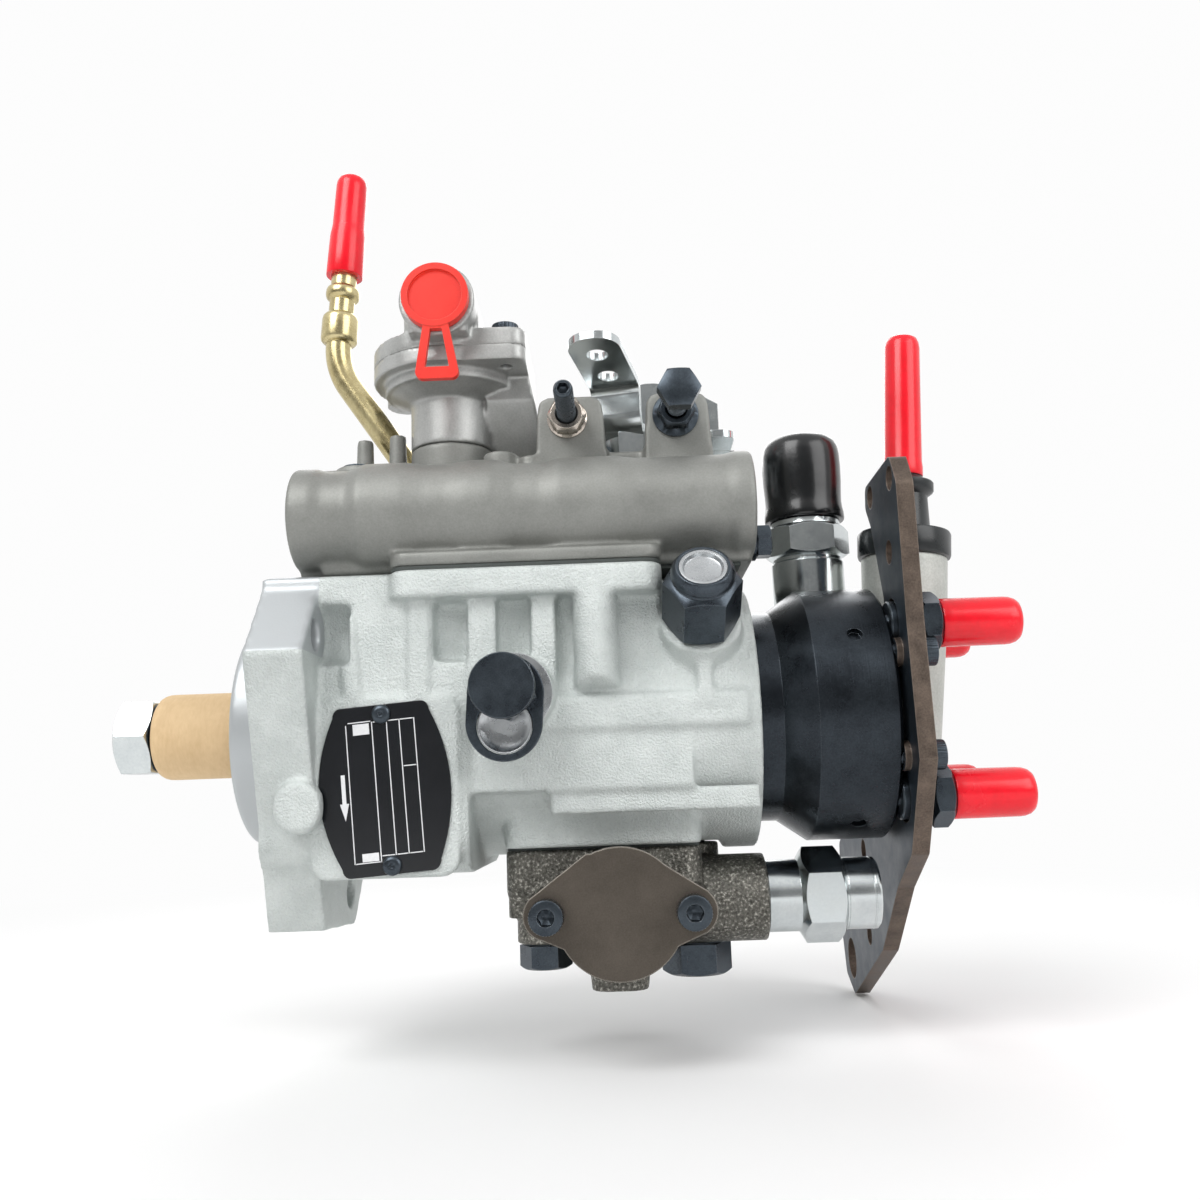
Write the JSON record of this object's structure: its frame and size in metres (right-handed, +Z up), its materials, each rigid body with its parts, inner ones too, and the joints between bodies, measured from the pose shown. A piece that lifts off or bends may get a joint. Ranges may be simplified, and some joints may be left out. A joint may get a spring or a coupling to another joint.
{
  "type": "diesel injection pump",
  "caption": "Rotary distributor diesel injection pump with mechanical governor, boost control, stop solenoid, timing advance unit, flange mount and capped outlets.",
  "frame": {"origin": "centre of the flange's mounting face, on the drive shaft's axis", "axes": "+X along the shaft from the drive end to the outlets, +Z up towards the governor cover, -Y towards the nameplate side"},
  "size_m": [0.2722, 0.1478, 0.29],
  "materials": {
    "sand_cast_aluminium": "sand-textured casting, matt with a faint sheen",
    "grey_cast_aluminium": "die casting, darker, satin",
    "pale_cast_aluminium": "die casting, satin",
    "boost_aluminium": "die casting, satin, fine grain",
    "gasket_paper": "compressed fibre, matt",
    "black_oxide_steel": "black oxide with oil, satin",
    "zinc_plated_steel": "bright zinc, slightly blue",
    "yellow_zinc_steel": "yellow passivated zinc",
    "machined_steel": "ground and oiled",
    "spring_steel": "drawn wire, oiled",
    "bare_dark_steel": "mill-scale plate, satin",
    "brown_steel_plate": "brown phosphated plate, satin",
    "dark_cast_iron": "sand-cast, grainy, matt",
    "bronze": "turned bronze",
    "red_vinyl": "soft vinyl, semi-gloss",
    "orange_plastic": "moulded plastic, semi-matt",
    "black_vinyl": "soft vinyl, glossy",
    "dark_green_plastic": "moulded plastic, semi-matt",
    "black_gloss_plate": "glossy printed plate",
    "black_rubber": "moulded rubber",
    "kraft_card": "kraft paper tube, matt"
  },
  "bodies": {
    "pump": {"advance_body": "dark_cast_iron", "advance_bolts": "black_oxide_steel", "advance_cover_plate": "brown_steel_plate", "advance_gasket": "gasket_paper", "advance_side_plug": "zinc_plated_steel", "advance_spring": "spring_steel", "boost_body": "boost_aluminium", "boost_cover": "boost_aluminium", "boost_plug": "orange_plastic", "boost_screws": "black_oxide_steel", "boost_spring": "spring_steel", "bracket_screws": "black_oxide_steel", "cover_gasket": "gasket_paper", "cover_screws": "black_oxide_steel", "delivery_holders": "black_oxide_steel", "end_plate": "pale_cast_aluminium", "governor_cover": "grey_cast_aluminium", "governor_spring": "spring_steel", "hydraulic_head": "black_oxide_steel", "inlet_connector": "dark_green_plastic", "keyhole_washer": "black_oxide_steel", "lock_bolt": "black_oxide_steel", "low_idle_screw": "black_oxide_steel", "max_speed_screw": "black_oxide_steel", "nameplate": "black_gloss_plate", "nameplate_rivets": "black_oxide_steel", "pivot_pin": "machined_steel", "pump_housing": "sand_cast_aluminium", "return_pipe": "yellow_zinc_steel", "shaft_bush": "bronze", "shaft_seal": "black_rubber", "solenoid_cap": "black_vinyl", "stop_screw_nuts": "black_oxide_steel", "stop_solenoid": "zinc_plated_steel", "support_bracket": "bare_dark_steel", "throttle_spring": "spring_steel", "transfer_liner": "machined_steel", "transit_caps": "red_vinyl", "vent_fitting": "black_oxide_steel"},
    "drive": {"drive_shaft": "machined_steel", "shaft_nut": "zinc_plated_steel", "shaft_sleeve": "kraft_card", "weight_carrier": "machined_steel", "distributor_rotor": "machined_steel"},
    "weight_a": {"flyweight_1": "machined_steel"},
    "weight_b": {"flyweight_2": "machined_steel"},
    "weight_c": {"flyweight_3": "machined_steel"},
    "weight_d": {"flyweight_4": "machined_steel"},
    "sleeve": {"thrust_sleeve": "machined_steel"},
    "arm": {"governor_arm": "zinc_plated_steel"},
    "link": {"link_hook": "zinc_plated_steel"},
    "metering": {"metering_valve": "machined_steel"},
    "cam": {"cam_ring": "machined_steel"},
    "piston": {"advance_piston": "machined_steel"},
    "throttle": {"throttle_lever": "zinc_plated_steel"},
    "stop": {"stop_lever": "zinc_plated_steel"},
    "boost": {"boost_rod": "machined_steel"},
    "plunger_near": {"plunger_2": "machined_steel"},
    "plunger_far": {"plunger_1": "machined_steel"}
  },
  "joints": [
    {"name": "drive_spin", "type": "hinge", "parent": "pump", "child": "drive", "pos_m": [0, 0, 0], "axis": [1, 0, 0], "continuous": true},
    {"name": "sleeve_slide", "type": "slide", "parent": "drive", "child": "sleeve", "axis": [1, 0, 0], "range_m": [0, 0.002]},
    {"name": "weight_a_swing", "type": "hinge", "parent": "drive", "child": "weight_a", "pos_m": [0.037, 0.01556, 0.01556], "axis": [0, 0.7071, -0.7071], "range_deg": [0, 14.32]},
    {"name": "weight_b_swing", "type": "hinge", "parent": "drive", "child": "weight_b", "pos_m": [0.037, -0.01556, 0.01556], "axis": [0, 0.7071, 0.7071], "range_deg": [0, 14.32]},
    {"name": "weight_c_swing", "type": "hinge", "parent": "drive", "child": "weight_c", "pos_m": [0.037, -0.01556, -0.01556], "axis": [0, -0.7071, 0.7071], "range_deg": [0, 14.32]},
    {"name": "weight_d_swing", "type": "hinge", "parent": "drive", "child": "weight_d", "pos_m": [0.037, 0.01556, -0.01556], "axis": [0, -0.7071, -0.7071], "range_deg": [0, 14.32]},
    {"name": "arm_swing", "type": "hinge", "parent": "pump", "child": "arm", "pos_m": [0.066, 0, 0.03], "axis": [0, -1, 0], "range_deg": [0, 3.82]},
    {"name": "link_slide", "type": "slide", "parent": "pump", "child": "link", "axis": [-1, 0, 0], "range_m": [0, 0.00202]},
    {"name": "metering_turn", "type": "hinge", "parent": "pump", "child": "metering", "pos_m": [0.12, 0, 0.04], "axis": [0, 0, -1], "range_deg": [0, 14.47]},
    {"name": "advance_slide", "type": "slide", "parent": "pump", "child": "piston", "axis": [0, 1, 0], "range_m": [-0.004, 0.004]},
    {"name": "cam_turn", "type": "hinge", "parent": "pump", "child": "cam", "pos_m": [0.0982, 0, 0], "axis": [1, 0, 0], "range_deg": [-4.28, 4.28]},
    {"name": "throttle_turn", "type": "hinge", "parent": "pump", "child": "throttle", "pos_m": [0.106, 0.008, 0.09], "axis": [0, 0, 1], "range_deg": [0, 38]},
    {"name": "stop_turn", "type": "hinge", "parent": "pump", "child": "stop", "pos_m": [0.1345, 0.021, 0.085], "axis": [0, 0, 1], "range_deg": [0, 25]},
    {"name": "boost_slide", "type": "slide", "parent": "pump", "child": "boost", "axis": [0, 0, -1], "range_m": [0, 0.004], "deforming": ["boost_spring"]},
    {"name": "plunger_near_slide", "type": "slide", "parent": "drive", "child": "plunger_near", "axis": [0, -1, 0], "range_m": [0, 0.0015]},
    {"name": "plunger_far_slide", "type": "slide", "parent": "drive", "child": "plunger_far", "axis": [0, 1, 0], "range_m": [0, 0.0015]}
  ],
  "couplings": [
    {"joint": "weight_a_swing", "follows": "sleeve_slide", "rad_per_m": 125},
    {"joint": "weight_b_swing", "follows": "sleeve_slide", "rad_per_m": 125},
    {"joint": "weight_c_swing", "follows": "sleeve_slide", "rad_per_m": 125},
    {"joint": "weight_d_swing", "follows": "sleeve_slide", "rad_per_m": 125},
    {"joint": "arm_swing", "follows": "sleeve_slide", "rad_per_m": 33.333},
    {"joint": "link_slide", "follows": "sleeve_slide", "ratio": 1.01},
    {"joint": "metering_turn", "follows": "sleeve_slide", "rad_per_m": 126.25},
    {"joint": "cam_turn", "follows": "advance_slide", "rad_per_m": 18.657}
  ]
}
